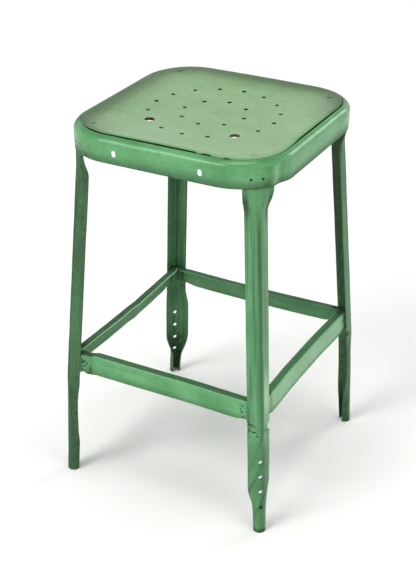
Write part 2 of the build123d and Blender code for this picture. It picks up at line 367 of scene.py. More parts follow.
# %% Chalky paint on the board
# Pressed fibre board takes paint dull and slightly grainy, and hands and clothes wear it pale
board_paint = new_paint("chalky_green_board_paint")
tree = board_paint.node_tree
place = node(tree, "ShaderNodeTexCoord").outputs["Object"]
mark = {}
for name in ("edge", "grime_and_shade"):
    mark[name] = node(tree, "ShaderNodeAttribute", attribute_name=name).outputs["Fac"]
# Real grit is finer than 3.5 mm but is drawn so that it shows; brush lines run across the seat
pattern = {}
for name, sizes in (("cloud", (38, 38, 38)), ("grit", (3.5, 3.5, 3.5)), ("line", (90, 2, 90))):
    at = node(tree, "ShaderNodeVectorMath", {0: place, 1: grain(*sizes)}, operation="MULTIPLY")
    pattern[name] = node(tree, "ShaderNodeTexNoise", {"Vector": at, "Scale": 1.0, "Detail": 3.0})
share = {}
for name, source, low, high, most, curve in (
    ("tone", "cloud", 0.3, 0.7, 1.0, "LINEAR"),
    ("mottle", "grit", 0.4, 0.68, 0.6, "LINEAR"),
    ("speck", "grit", 0.7, 0.76, 0.5, "SMOOTHSTEP"),
    ("pulled", "line", 0.48, 0.66, 0.6, "LINEAR"),
):
    span = {0: pattern[source], 1: low, 2: high, 4: most}
    share[name] = node(tree, "ShaderNodeMapRange", span, interpolation_type=curve)
tones = {0: share["tone"], 6: colour("83A678"), 7: colour("8EB184")}
coat = node(tree, "ShaderNodeMix", tones, data_type="RGBA")
# The dark 1A300F follows the mark of dirt and painted shade
for amount, tint in (
    (share["mottle"], "6C9061"), (share["speck"], "4C6A45"), (share["pulled"], "76A06C"),
    (mark["edge"], "5F9A5E"), (mark["grime_and_shade"], "1A300F"),
):
    coat = node(tree, "ShaderNodeMix", {0: amount, 6: coat, 7: colour(tint)}, data_type="RGBA")
skin = node(tree, "ShaderNodeMath", {0: pattern["grit"], 1: pattern["line"]}, operation="ADD")
relief = node(tree, "ShaderNodeBump", {"Strength": 0.45, "Distance": 0.3 * MM, "Height": skin})
end_paint(board_paint, {"Base Color": coat, "Roughness": 0.3, "Normal": relief, "Specular IOR Level": 0.25})

# %% Bare fibre, cut steel and weld metal
# Drilled holes show the board's brown fibre. Punched steel rusts at the cut in blooms about 2 mm wide.
# Weld metal holds paint badly, so dark scabs about 4 mm wide show between the green
plain = {}
for name, sizes, detail, rough, low, high, curve, dark, pale in (
    ("bare_brown_fibre", (7, 7, 1.2), 4.0, 0.5, 0.35, 0.65, "LINEAR", "20150C", "7A4E28"),
    ("rusty_cut_steel", (2, 2, 2), 4.0, 0.5, 0.35, 0.65, "LINEAR", "15160F", "3A2A1C"),
    ("painted_weld_metal", (4, 4, 4), 5.0, 0.7, 0.4, 0.6, "SMOOTHSTEP", "2B3D26", "4F8F5B"),
):
    made = new_paint(name)
    tree = made.node_tree
    place = node(tree, "ShaderNodeTexCoord").outputs["Object"]
    at = node(tree, "ShaderNodeVectorMath", {0: place, 1: grain(*sizes)}, operation="MULTIPLY")
    look = {"Vector": at, "Scale": 1.0, "Detail": detail, "Roughness": rough}
    mottle = node(tree, "ShaderNodeTexNoise", look)
    tone = node(tree, "ShaderNodeMapRange", {0: mottle, 1: low, 2: high}, interpolation_type=curve)
    coat = node(tree, "ShaderNodeMix", {0: tone, 6: colour(dark), 7: colour(pale)}, data_type="RGBA")
    plain[name] = {"paint": made, "place": place, "mottle": mottle, "coat": coat}

cut_steel = plain["rusty_cut_steel"]["paint"]
end_paint(cut_steel, {"Base Color": plain["rusty_cut_steel"]["coat"], "Roughness": 0.7})

weld = plain["painted_weld_metal"]
weld_paint = weld["paint"]
lumps = {"Strength": 0.5, "Distance": 0.4 * MM, "Height": weld["mottle"]}
relief = node(weld_paint.node_tree, "ShaderNodeBump", lumps)
end_paint(weld_paint, {"Base Color": weld["coat"], "Roughness": 0.5, "Normal": relief})

# Some holes in the board are darkened and some are painted shut, by a random number for each place
fibre, coat = plain["bare_brown_fibre"]["paint"], plain["bare_brown_fibre"]["coat"]
tree, place = fibre.node_tree, plain["bare_brown_fibre"]["place"]
at = node(tree, "ShaderNodeVectorMath", {0: place, 1: grain(41, 33, 200)}, operation="MULTIPLY")
cell = node(tree, "ShaderNodeVectorMath", {0: at}, operation="FLOOR")
hole = node(tree, "ShaderNodeTexWhiteNoise", {"Vector": cell}).outputs["Value"]
for low, high, most, tint in ((0.3, 0.5, 0.85, "0E120A"), (0.84, 0.86, 0.8, "3F6B3C")):
    amount = node(tree, "ShaderNodeMapRange", {0: hole, 1: low, 2: high, 4: most})
    coat = node(tree, "ShaderNodeMix", {0: amount, 6: coat, 7: colour(tint)}, data_type="RGBA")
end_paint(fibre, {"Base Color": coat, "Roughness": 0.85})

# %% [markdown]
# ## Punching holes
# Every hole on this stool was drilled or punched through finished sheet, so the pieces are made whole
# first and then cut. Two Geometry Nodes trees do it: one places drills on rings by a rule, for the vents
# of the seat, and one takes any set of punches. Both mark the cut walls so that they get a bare finish.

# %% Helpers for Geometry Nodes trees
def new_tree(name, **sockets):
    """Empty geometry tree with geometry in and out and extra inputs by kind; returns their identifiers."""
    tree = bpy.data.node_groups.new(name, "GeometryNodeTree")
    for way in ("INPUT", "OUTPUT"):
        tree.interface.new_socket("Geometry", in_out=way, socket_type="NodeSocketGeometry")
    keys = {}
    for kind, labels in sockets.items():
        for label in labels:
            made = tree.interface.new_socket(label, in_out="INPUT", socket_type="NodeSocket" + kind)
            keys[label] = made.identifier
    return tree, keys


def end_tree(tree, shape, finish):
    """Make a shape real, give it a finish and hand it out."""
    real = node(tree, "GeometryNodeRealizeInstances", {"Geometry": shape})
    painted = node(tree, "GeometryNodeSetMaterial", {"Geometry": real, **finish})
    node(tree, "NodeGroupOutput", {"Geometry": painted})


def end_cut(tree, start, cutter):
    """Cut a body, mark the new walls, and give them the bare finish."""
    walls = {"Geometry": cutter, "Name": "cut", "Value": True}
    marked = node(tree, "GeometryNodeStoreNamedAttribute", walls, data_type="BOOLEAN", domain="FACE")
    meshes = {"Mesh 1": start.outputs["Geometry"], "Mesh 2": marked}
    cut = node(tree, "GeometryNodeMeshBoolean", meshes, operation="DIFFERENCE", solver="EXACT")
    is_wall = node(tree, "GeometryNodeInputNamedAttribute", {"Name": "cut"}, data_type="BOOLEAN")
    end_tree(tree, cut, {"Selection": is_wall, "Material": start.outputs["Bare finish"]})


def run_tree(made, tree, keys, values):
    """Run a tree on an object with the given inputs and return the plain mesh that it makes."""
    modifier = made.modifiers.new(tree.name, "NODES")
    modifier.node_group = tree
    for label, value in values.items():
        modifier[keys[label]] = value
    evaluated = made.evaluated_get(bpy.context.evaluated_depsgraph_get())
    mesh = bpy.data.meshes.new_from_object(evaluated)
    made.modifiers.clear()
    return mesh


# %% Trees that cut
punch_tree, punch_keys = new_tree("punched_holes", Object=["Punches"], Material=["Bare finish"])
start = node(punch_tree, "NodeGroupInput")
tools = node(punch_tree, "GeometryNodeObjectInfo", {"Object": start.outputs["Punches"]})
end_cut(punch_tree, start, tools.outputs["Geometry"])

vent_tree, vent_keys = new_tree(
    "vent_rings", Object=["Drill"], Material=["Bare finish"],
    Float=["Outer radius", "Outer level", "Inner radius", "Inner level", "Large size"],
    Int=["Outer count", "Inner count", "First large", "Second large"])
tree = vent_tree
start = node(tree, "NodeGroupInput")
drill = node(tree, "GeometryNodeObjectInfo", {"Object": start.outputs["Drill"]}).outputs["Geometry"]
index = node(tree, "GeometryNodeInputIndex")
chosen = []
for label in ("First large", "Second large"):
    pair = {2: index, 3: start.outputs[label]}
    chosen.append(node(tree, "FunctionNodeCompare", pair, data_type="INT", operation="EQUAL"))
large = node(tree, "FunctionNodeBooleanMath", {0: chosen[0], 1: chosen[1]}, operation="OR")
choice = {"Switch": large, "False": 1.0, "True": start.outputs["Large size"]}
size = node(tree, "GeometryNodeSwitch", choice, input_type="FLOAT")
scale = node(tree, "ShaderNodeCombineXYZ", {0: size, 1: size, 2: 1.0})
rings = []
for label in ("Outer", "Inner"):
    circle = {"Vertices": start.outputs[label + " count"], "Radius": start.outputs[label + " radius"]}
    ring = node(tree, "GeometryNodeMeshCircle", circle)
    lift = node(tree, "ShaderNodeCombineXYZ", {2: start.outputs[label + " level"]})
    raised = node(tree, "GeometryNodeSetPosition", {"Geometry": ring, "Offset": lift})
    spots = {"Points": raised, "Instance": drill}
    if label == "Outer":
        spots["Scale"] = scale
    rings.append(node(tree, "GeometryNodeInstanceOnPoints", spots))
both = node(tree, "GeometryNodeJoinGeometry", {0: rings[0]})
tree.links.new(rings[1].outputs[0], both.inputs[0])
end_cut(tree, start, node(tree, "GeometryNodeRealizeInstances", {"Geometry": both}))
print("trees:", [g.name for g in bpy.data.node_groups])


# %% Punch shapes
shop_tools = []


def prism(name, outlines):
    """One hidden tool of closed prisms, each from a list of outlines that follow each other."""
    points, faces = [], []
    for rings in outlines:
        base = len(points)
        points += [tuple(p) for ring in rings for p in ring]
        faces += [tuple(base + i for i in f) for f in capped(len(rings), len(rings[0]))]
    made = build(name, points, faces)
    made.hide_render = True
    shop_tools.append(made)
    return made


def round_punch(centre, axis, radius, reach, sides=28, stretch=0.0):
    """Two outlines of a round punch along a level axis; a stretch makes it an upright slot."""
    axis = Vector(axis).normalized()
    across = axis.cross(Vector((0, 0, 1))).normalized()
    up = axis.cross(across)
    rings = []
    for way in (-1, 1):
        ring = []
        for k in range(sides):
            a = 2 * math.pi * (k + 0.5) / sides
            tall = radius * math.sin(a) + (stretch if math.sin(a) > 0 else -stretch)
            ring.append(Vector(centre) + axis * way * reach + across * radius * math.cos(a) + up * tall)
        rings.append(ring)
    return rings


def punch(made, name, punches):
    """Cut a set of punches out of a piece, down to bare steel."""
    tool = prism(name, punches)
    made.data = run_tree(made, punch_tree, punch_keys, {"Punches": tool, "Bare finish": cut_steel})


# %% [markdown]
# ## Seat pan
# The seat is one sheet pressed over a tool: a skirt, a round shoulder, a shallow recess for the board
# and a dished deck. Its plan is a square with large round corners, and a smaller offset of that plan
# keeps the same corner centres. So the whole pan is a stack of such outlines, one for each point of
# its section, which is simpler to control than a sculpted sheet.

# %% Outlines of the seat
SIDE_STEPS, CORNER_STEPS = 30, 40
BOWL_POWER, ROUND_SHARE, CAP_STEP = 3.0, 0.3, 0.3


def outline(inset):
    """Plan of the pan, moved inwards by an inset, in order from the middle of the right side."""
    half, radius = PAN_HALF - inset, PAN_CORNER - inset
    quarter = [(half, CORNER_CENTRE * k / SIDE_STEPS) for k in range(SIDE_STEPS)]
    for k in range(CORNER_STEPS):
        a = math.pi / 2 * k / CORNER_STEPS
        quarter.append((CORNER_CENTRE + radius * math.cos(a), CORNER_CENTRE + radius * math.sin(a)))
    quarter += [(CORNER_CENTRE * (1 - k / SIDE_STEPS), half) for k in range(SIDE_STEPS)]
    return np.vstack([quarter_turned(quarter, turn) for turn in range(4)])


def level_ring(inset, level):
    """Plan of the pan at an inset and a level."""
    return side_by_side(*outline(inset).T, level)


def bowl(share):
    """How far the seat lies below its edge at a share of its half width."""
    return DISH_DEPTH * (1.0 - share ** BOWL_POWER)


def dished_rings(inset, level, steps):
    """Outlines that shrink from an inset to near the middle, become round and follow the bowl."""
    square = outline(inset)
    circle = square / np.linalg.norm(square, axis=1, keepdims=True) * (PAN_HALF - inset)
    rings = []
    for k in range(1, steps + 1):
        share = 1.0 - k / (steps + CAP_STEP)
        blend = ease(share, 1.0, ROUND_SHARE)
        flat = share * ((1 - blend) * square + blend * circle)
        rings.append(side_by_side(*flat.T, level - bowl(share)))
    return rings


def dish_faces(rows, columns, middle_row):
    """Faces of a closed shell of rings with a flat cap on both sides of its middle."""
    faces = [f for f in lattice(rows, columns, wrap_rows=True) if f[0] // columns != middle_row]
    faces.append(tuple(middle_row * columns + i for i in range(columns)))
    faces.append(tuple((middle_row + 1) * columns + i for i in reversed(range(columns))))
    return faces


print("plan of", len(outline(0.0)), "points")

# %% Pan section
TUCK, TUCK_TOP, ARC_STEPS, DECK_INSET = 1.1, 584.0, 12, 20.5
CROWN, INNER_SHOULDER, DECK_UNDER = RIM_TOP - SHOULDER, SHOULDER - PAN_SHEET, DECK_TOP - PAN_SHEET


def tuck(z):
    """The foot of the skirt is drawn in a little."""
    return TUCK * float(ease(z, TUCK_TOP, SKIRT_FOOT))


def pan_section():
    """Inset and height of the pan's outside, from the foot of the skirt to the deck."""
    section = [(PAN_SHEET + 1.0, SKIRT_FOOT + 0.35), (1.75, SKIRT_FOOT + 0.05), (1.35, SKIRT_FOOT + 0.1)]
    section += [(tuck(z), z) for z in (569.8, 571, 573, 576, 579, 582, 586, 590, 594)]
    for k in range(ARC_STEPS + 1):
        a = math.pi / 2 * k / ARC_STEPS
        section.append((SHOULDER * (1 - math.cos(a)), CROWN + SHOULDER * math.sin(a)))
    section += [(10.95, 608.5), (11.3, 608.15), (11.5, 607.5), (11.7, 606.8), (12.2, 606.35)]
    return section + [(inset, DECK_TOP) for inset in (13.4, 17.0, DECK_INSET)]


def pan_inside():
    """Inset and height of the pan's underside, from the deck back to the foot of the skirt."""
    section = [(inset, DECK_UNDER) for inset in (DECK_INSET, 17.0, 13.4)]
    section += [(11.9, 605.15), (10.9, 605.9), (10.6, 606.8)]
    for k in range(1, ARC_STEPS + 1):
        a = math.pi / 2 * (1 - k / ARC_STEPS)
        section.append((SHOULDER - INNER_SHOULDER * math.cos(a), CROWN + INNER_SHOULDER * math.sin(a)))
    return section + [(PAN_SHEET + tuck(z), z) for z in (594, 588, 582, 577, 573, 570.5)]


print("pan section of", len(pan_section() + pan_inside()), "points")

# %% Pan shape
DECK_STEPS, SKIRT_WAVE, SKIRT_WAVE_SIZE, CREASE_Y, RIM_SAG = 34, 0.45, 46.0, -132.0, 2.0
rings = [level_ring(*spot) for spot in pan_section()]
outside_rows = len(rings)
rings += dished_rings(DECK_INSET, DECK_TOP, DECK_STEPS)
middle_row = len(rings) - 1
rings += dished_rings(DECK_INSET, DECK_UNDER, DECK_STEPS)[::-1]
rings += [level_ring(*spot) for spot in pan_inside()]
columns = len(rings[0])
points = np.vstack(rings)
row = np.arange(len(points)) // columns
under = row > middle_row
# The press and years of use left the skirt slightly wavy, with a crease at the right of one front corner
facing = points[:, :2] / np.linalg.norm(points[:, :2], axis=1, keepdims=True)
on_skirt = ease(points[:, 2], 607.5, 601.0) * (np.max(np.abs(points[:, :2]), axis=1) > 120)
run_back = points[:, 1] - CREASE_Y
right_side = points[:, 0] > PAN_HALF - 30
push = SKIRT_WAVE * waves(points, SKIRT_WAVE_SIZE, seed=1)
push += right_side * (1.9 * bump(run_back, -4, 6) - 2.4 * bump(run_back, 13, 9))
points[:, :2] += facing * (push * on_skirt)[:, None]
# The rim has sunk a little along the rear and the left
far_side = np.maximum(ease(points[:, 1], 95, 168), ease(-points[:, 0], 142, 167))
points[:, 2] -= RIM_SAG * far_side * ease(points[:, 2], 578, 604) * (row < outside_rows - 4)
print("pan of", len(rings), "rings with", columns, "points each")

# %% Pan marks and mesh
x, y, z = points.T
rough_corner = ease(-x - y, 262, 288) + 0.65 * ease(x - y, 268, 290)
chafed = ease(-x, 156, 173) * ease(-y, 30, 105) * ~under
creased = right_side * ease(z, 604, 598) * ~under
# A painted highlight lightens the crease ridge and painted shade darkens both sides of it
painted_crease_highlight = creased * bump(run_back, 2, 7)
painted_crease_shade = creased * (bump(run_back, -9, 4) + 0.6 * bump(run_back, 13, 4))
# Painted shade, with some dirt, darkens the recess round the board and the pan's underside; painted shade
# darkens the far rim; the skirt is darker towards its foot
recess_shade_and_dirt = ((row >= outside_rows - 8) & ~under) * (1 - 0.8 * ease(-x, 118, 146))
painted_far_rim_shade = far_side * ease(z, 599, 605) * (row < outside_rows)
darker_to_foot = ease(z, 588, SKIRT_FOOT) * ~under
dirt_and_shade = 0.75 * darker_to_foot + 0.55 * under + 0.95 * recess_shade_and_dirt + 0.3 * painted_crease_shade + 0.22 * chafed
pan_marks = {
    "sheet": side_by_side(z, x, y) * MM,
    "brushed": np.full(len(points), 0.12),
    "edge": ease(z, 573.0, SKIRT_FOOT) - 0.48 * painted_crease_highlight - 0.5 * chafed,
    "grime_and_shade": np.clip(dirt_and_shade + 0.9 * painted_far_rim_shade, 0, 1),
    "rust": np.clip(0.62 * rough_corner * ease(z, 603, 590) * ~under, 0, 1),
}
pan = build("seat_pan_enamelled", points, dish_faces(len(rings), columns, middle_row), enamel, pan_marks)
print("pan marks:", list(pan_marks))

# %% Vents, slots and weld pits of the pan
VENT, LARGE_VENT, VENT_RIM, VENT_SIDES, BOWL_HALF = 3.25, 7.5, 3.65, 28, PAN_HALF - DECK_INSET
OUTER_RING, OUTER_COUNT, INNER_RING, INNER_COUNT = 100.0, 16, 50.5, 8
FIRST_LARGE, SECOND_LARGE = 10, 14
SLOT_X, SLOT_Z, SLOT_RADIUS, SLOT_STRETCH, SLOT_REACH = 70.0, 586.1, 3.6, 1.6, 6.0
PIT_Z, PIT_PITCH, PIT_TURN, PIT_RADIUS, PIT_REACH = RIM_TOP - 25.0, 17.5, -2.5, 2.1, 1.05
drill_profile = [(VENT, -22.0), (VENT, -0.7), (VENT + 0.12, -0.25), (VENT_RIM, 0.05), (VENT_RIM, 8.0)]
vent_drill = prism("vent_drill", [lathe(drill_profile, VENT_SIDES)])


def cut_vents(made, level, bare):
    """Drill both rings of vents at the level of the piece's rim."""
    outer_level, inner_level = [level - bowl(r / BOWL_HALF) for r in (OUTER_RING, INNER_RING)]
    made.data = run_tree(made, vent_tree, vent_keys, {
        "Drill": vent_drill, "Bare finish": bare,
        "Large size": LARGE_VENT / VENT, "First large": FIRST_LARGE, "Second large": SECOND_LARGE,
        "Outer radius": OUTER_RING * MM, "Outer count": OUTER_COUNT, "Outer level": outer_level * MM,
        "Inner radius": INNER_RING * MM, "Inner count": INNER_COUNT, "Inner level": inner_level * MM})


punches = []
for side in (-1, 1):
    slot_at = (side * SLOT_X, -PAN_HALF, SLOT_Z)
    punches.append(round_punch(slot_at, (0, 1, 0), SLOT_RADIUS, SLOT_REACH, stretch=SLOT_STRETCH))
for corner in range(4):
    centre = quarter_turned((CORNER_CENTRE, CORNER_CENTRE), corner)
    for side in (-1, 1):
        a = math.radians(45 + 90 * corner + PIT_TURN) + side * PIT_PITCH / 2 / PAN_CORNER
        way = np.array((math.cos(a), math.sin(a)))
        spot = np.array((*(centre + PAN_CORNER * way), PIT_Z))
        nearest = np.argmin(np.linalg.norm(points - spot, axis=1))
        spot[:2] += facing[nearest] * push[nearest]
        punches.append(round_punch(spot, (*way, 0), PIT_RADIUS, PIT_REACH, sides=16))
cut_vents(pan, DECK_TOP, cut_steel)
punch(pan, "skirt_punches", punches)
shade(pan, sharp=40)
hand_over(pan, "green_enamel", "seat_pan")

# %% [markdown]
# ## Board
# A thin pressed board lies in the recess. It is riveted at its corners and its middle, so its edges
# bow up a little between the corners and a dark gap opens there. It is built from the same outlines as
# the pan: a rounded edge, then rings that follow the dish.

# %% Gap round the board
BOARD_INSET, BOARD_THICK, BOARD_TOP, CORNER_PULL = 12.6, 3.0, SEAT_TOP - 0.2, 0.6
x, y = outline(0.0).T
at_corner = np.sin(2 * np.arctan2(y, x)) ** 2
# The board shrank away from the rim along the front, where paint bridges the gap in two places, and
# along the right; along the left and the rear it is tight
bridges = ease(np.abs(x - 62), 6, 3) + ease(np.abs(x - 91), 13, 9)
front_gap = ease(x, 118, 106) * ease(x, -152, -118) * (1 - bridges) * (y < -110)
right_gap = ease(y, -80, -40) * ease(y, 150, 100) * (x > 110)
tight = np.maximum(ease(-x, 110, 150), ease(y, 120, 160))
gap = 3.5 * front_gap + 2.1 * right_gap - 0.3 - 0.5 * tight
gap += 0.3 * (1 - tight) * waves(side_by_side(x, y, x), 14.0, seed=3)


def board_ring(inset, level):
    """Board outline at an inset, with its uneven gap to the rim and its corners pulled down by rivets."""
    flat = np.array([outline(i)[k] for k, i in enumerate(inset + gap)])
    return side_by_side(*flat.T, level - CORNER_PULL * at_corner)


print("the gap widens by up to", round(float(gap.max()), 1), "mm")

# %% Board mesh
BOARD_STEPS, BOARD_WAVE, BOARD_WAVE_SIZE = 40, 0.18, 60.0
edge_section = [
    (2.2, -BOARD_THICK), (1.6, -2.6), (1.1, -2.0), (0.6, -1.3), (0.2, -0.8), (0.02, -0.6),
    (0.05, -0.4), (0.25, -0.15), (0.7, -0.03), (1.4, 0.0), (3.0, 0.0), (6.0, 0.0)]
rings = [board_ring(BOARD_INSET + i, BOARD_TOP + h) for i, h in edge_section]
edge_rows = len(rings)
top = dished_rings(BOARD_INSET + 8.0, BOARD_TOP, BOARD_STEPS)
for k, ring in enumerate(top):
    ring[:, 2] -= CORNER_PULL * at_corner * float(ease(k, 9, 0))
rings += top
middle_row = len(rings) - 1
rings += [ring - [0, 0, BOARD_THICK] for ring in top[::-1]]
columns = len(rings[0])
points = np.vstack(rings)
row = np.arange(len(points)) // columns
points[:, 2] += np.where(row > edge_rows, BOARD_WAVE, 0.0) * waves(points, BOARD_WAVE_SIZE, seed=4)
# Painted shade, with some dirt, darkens the board towards the rim along the far sides; painted shade also
# darkens its lower edge in the gap and its underside
x, y = points[:, 0], points[:, 1]
far_edge = np.maximum(ease(y, 0, 120), ease(-x, 60, 150))
round_off = np.maximum(np.abs(points[:, :2]) - CORNER_CENTRE, 0.0)
to_round = PAN_CORNER - BOARD_INSET - np.linalg.norm(round_off, axis=1)
to_side = PAN_HALF - BOARD_INSET - np.max(np.abs(points[:, :2]), axis=1)
to_rim = np.where(np.min(round_off, axis=1) > 0, np.minimum(to_side, to_round), to_side)
on_face = (row >= edge_rows - 4) & (row <= middle_row)
shadowed = far_edge * (0.25 * ease(to_rim, 62, 20) + 0.5 * ease(to_rim, 36, 0)) * on_face
board_marks = {
    "edge": np.where((row >= 4) & (row <= edge_rows - 1), ease(row, edge_rows + 1, 8), 0.0),
    "grime_and_shade": np.where(row <= 6, ease(row, 7, 4), 0.0) + np.where(row > middle_row, 0.7, 0.0) + shadowed,
}
board_faces = dish_faces(len(rings), columns, middle_row)
board = build("seat_board_painted", points, board_faces, board_paint, board_marks)
cut_vents(board, BOARD_TOP, fibre)
shade(board, sharp=40)
hand_over(board, "painted_hardboard", "seat_panel")

# %% [markdown]
# ## Rivets
# Five flush rivets hold the board. Each is a shallow head in a countersink, painted over with the board,
# and an upset tail under the deck. One rivet is turned on a lathe of points; Geometry Nodes set it at
# the five places, so a sixth would cost one more point.

# %% One rivet
RIVET_SIDES = 28
rivet_paint = board_paint.copy()
rivet_paint.name = "painted_over_rivet"
profile = [
    (0.01, -6.4), (2.8, -6.35), (3.4, -5.9), (3.5, -5.1), (3.3, -4.7), (2.0, -4.6), (2.0, -1.4),
    (4.6, -0.5), (4.9, -0.15), (4.6, 0.0), (3.9, 0.02), (3.5, 0.16), (2.0, 0.2), (0.01, 0.2)]
rivet_points = np.vstack(lathe(profile, RIVET_SIDES))
rivet_faces = capped(len(profile), RIVET_SIDES)
rim_dirt = [0.7 if 3.7 < r < 5.0 and h > -0.6 else 0.035 for r, h in profile]
rivet_marks = {"grime_and_shade": np.repeat(rim_dirt, RIVET_SIDES), "edge": np.zeros(len(rivet_points))}
one_rivet = build("one_rivet", rivet_points, rivet_faces, rivet_paint, rivet_marks)
shade(one_rivet, sharp=50)
one_rivet.hide_render = True
shop_tools.append(one_rivet)

rivet_tree, rivet_keys = new_tree(
    "set_rivets", Object=["Rivet"], Material=["Finish"], Float=["Size"], Int=["Seed"])
tree = rivet_tree
start = node(tree, "NodeGroupInput")
body = node(tree, "GeometryNodeObjectInfo", {"Object": start.outputs["Rivet"]}).outputs["Geometry"]
limits = {"Max": (0.03, 0.03, 6.28), "Seed": start.outputs["Seed"]}
spots = {"Points": start.outputs["Geometry"], "Instance": body, "Scale": start.outputs["Size"]}
spots["Rotation"] = node(tree, "FunctionNodeRandomValue", limits, data_type="FLOAT_VECTOR")
set_in = node(tree, "GeometryNodeInstanceOnPoints", spots)
end_tree(tree, set_in, {"Material": start.outputs["Finish"]})
print("rivet of", len(one_rivet.data.polygons), "faces")

# %% Rivets in their places
CORNER_RIVET, RIVET_PROUD, RIVET_REACH = 132.3, 0.08, 10.0
on_top = (row >= edge_rows) & (row <= middle_row)
board_top, top_shade = points[on_top], shadowed[on_top]
places, shade_there = [], []
corners = [(x, y) for x in (-CORNER_RIVET, CORNER_RIVET) for y in (-CORNER_RIVET, CORNER_RIVET)]
for x, y in corners + [(0.0, 0.0)]:
    nearest = np.argmin(np.hypot(board_top[:, 0] - x, board_top[:, 1] - y))
    places.append((x, y, board_top[nearest, 2] + RIVET_PROUD))
    shade_there.append(top_shade[nearest])
rivet_spots = bpy.data.meshes.new("rivet_spots")
rivet_spots.from_pydata((np.array(places) * MM).tolist(), [], [])
rivets = bpy.data.objects.new("board_rivets_painted", rivet_spots)
scene.collection.objects.link(rivets)
setting = {"Rivet": one_rivet, "Finish": rivet_paint, "Size": 1.0, "Seed": 5}
rivets.data = run_tree(rivets, rivet_tree, rivet_keys, setting)
# Each rivet takes the painted shade of the board around it
layer = rivets.data.attributes["grime_and_shade"]
dirt_and_shade = np.zeros(len(layer.data))
layer.data.foreach_get("value", dirt_and_shade)
spot_of = np.array([rivets.data.vertices[loop.vertex_index].co[:2] for loop in rivets.data.loops]) / MM
for centre, more in zip(places, shade_there):
    mine = np.hypot(spot_of[:, 0] - centre[0], spot_of[:, 1] - centre[1]) < RIVET_REACH
    dirt_and_shade[mine] = np.clip(dirt_and_shade[mine] + more, 0, 1)
layer.data.foreach_set("value", dirt_and_shade)
hand_over(rivets, "painted_rivets", "panel_rivets")

# %% [markdown]
# ## Legs
# Each leg is one width of steel strip. Its top is opened out to lie in the pan's corner, its length is
# folded to an angle, and its lower end is rolled into a tube that stands on the floor. A section
# therefore needs only two numbers: how far the strip turns, and which share of its width is in the bend.
# Both ease from one shape to the next with height, as they do on a real press and roll.

# %% Leg sections
STRIP, LEG_SHEET, FOLD_SHARE, TROUGH_SHARE, ROLLED = 48.42, 2.0, 0.1946, 0.62, 0.97
TOP_TURN, FOOT_TURN = math.radians(32.19), math.radians(276.0)
APEX_TOP, LEG_SPLAY, FOOT_SPLAY, FLANGE_OUT = 150.114, 24.0, 6.8, 1.757
LEG_SLOPE = LEG_SPLAY / (FLARE_TOP - BEND)
TROUGH, ROLL_START, FOOT_TUCK, FOOT_FREE = 140.0, 84.0, 0.2, 8.0


def apex(height):
    """Distance of the leg's fold from both middle planes."""
    if height >= FLARE_TOP:
        return APEX_TOP
    if height >= BEND:
        return APEX_TOP + LEG_SLOPE * (FLARE_TOP - height)
    return APEX_TOP + LEG_SPLAY + FOOT_SPLAY * (BEND - height) / BEND


def flange_face(height):
    """Distance of a flange's outer face from the middle plane that it runs along."""
    return apex(height) + FLANGE_OUT


def strip_shape(height, trough, slow):
    """Turn of the strip and share of its width in the bend at a height, with the turn of the trough below
    the bend; a slow roll starts higher and is not finished at the floor."""
    flare = float(ease(height, FLARE_FOOT - 4, FLARE_TOP + 4))
    opened = float(ease(height, BEND - 4, TROUGH))
    rolled = 0.75 * float(ease(height, ROLL_START, TUBE_TOP))
    rolled += 0.25 * float(ease(height, ROLL_START - 20, 0))
    rolled += slow * (float(ease(height, ROLL_START + 40, -30)) - rolled)
    turn, share = math.pi / 2, FOLD_SHARE
    steps = ((flare, TOP_TURN, ROLLED), (opened, trough, TROUGH_SHARE), (rolled, FOOT_TURN, ROLLED))
    for step, to_turn, to_share in steps:
        turn += step * (to_turn - turn)
        share += step * (to_share - share)
    return turn, share


def strip_point(height, along, depth, trough, slow, pull, slide, keep, twist):
    """Points of the leg across the strip at a depth in its sheet. A pull moves the trough inwards and keeps
    a share of that at the foot; a slide moves it sideways and a twist turns it."""
    turn, share = strip_shape(height, trough, slow)
    radius, half = STRIP * share / turn, STRIP * share / 2
    bent = np.clip(along, -half, half)
    angle, flat = bent / radius, along - bent
    below_bend = float(ease(height, BEND - 2, TROUGH))
    above_foot = float(ease(height, FOOT_FREE, ROLL_START))
    loose = below_bend * above_foot
    moved = pull * below_bend * (keep + (1 - keep) * above_foot)
    moved += FOOT_TUCK * float(ease(height, ROLL_START, TUBE_TOP))
    fold = (apex(height) - moved) * math.sqrt(2)
    out = -radius + (radius - depth) * np.cos(angle) - flat * np.sin(angle)
    across = (radius - depth) * np.sin(angle) + flat * np.cos(angle)
    c, s = math.cos(twist * loose), math.sin(twist * loose)
    out, across = fold + c * out - s * across, s * out + c * across + slide * loose
    return side_by_side((out - across) / math.sqrt(2), (out + across) / math.sqrt(2), height)


print("legs lean out by", round(math.degrees(math.atan(LEG_SLOPE)), 1), "degrees each way")

# %% Points across the strip and heights of the sections
ACROSS, ROUND_EDGE = 60, np.radians([45.0, 90.0, 135.0])
LEVEL_SPANS = (
    (0, 20, 8), (20, 96, 34), (96, 170, 18), (170, 204, 46), (204, 525, 47),
    (525, 572, 18), (572, LEG_TOP, 5))
half_sheet = LEG_SHEET / 2
body = np.linspace(-STRIP / 2 + half_sheet, STRIP / 2 - half_sheet, ACROSS)
tip = half_sheet * np.sin(ROUND_EDGE)
loop_along = np.concatenate([body, body[-1] + tip, body[::-1], body[0] - tip])
loop_depth = np.concatenate([
    np.zeros(ACROSS), half_sheet * (1 - np.cos(ROUND_EDGE)),
    np.full(ACROSS, LEG_SHEET), half_sheet * (1 + np.cos(ROUND_EDGE))])
levels = np.unique(np.concatenate([np.linspace(*span) for span in LEVEL_SPANS]))
print("leg of", len(levels), "sections with", len(loop_along), "points each")


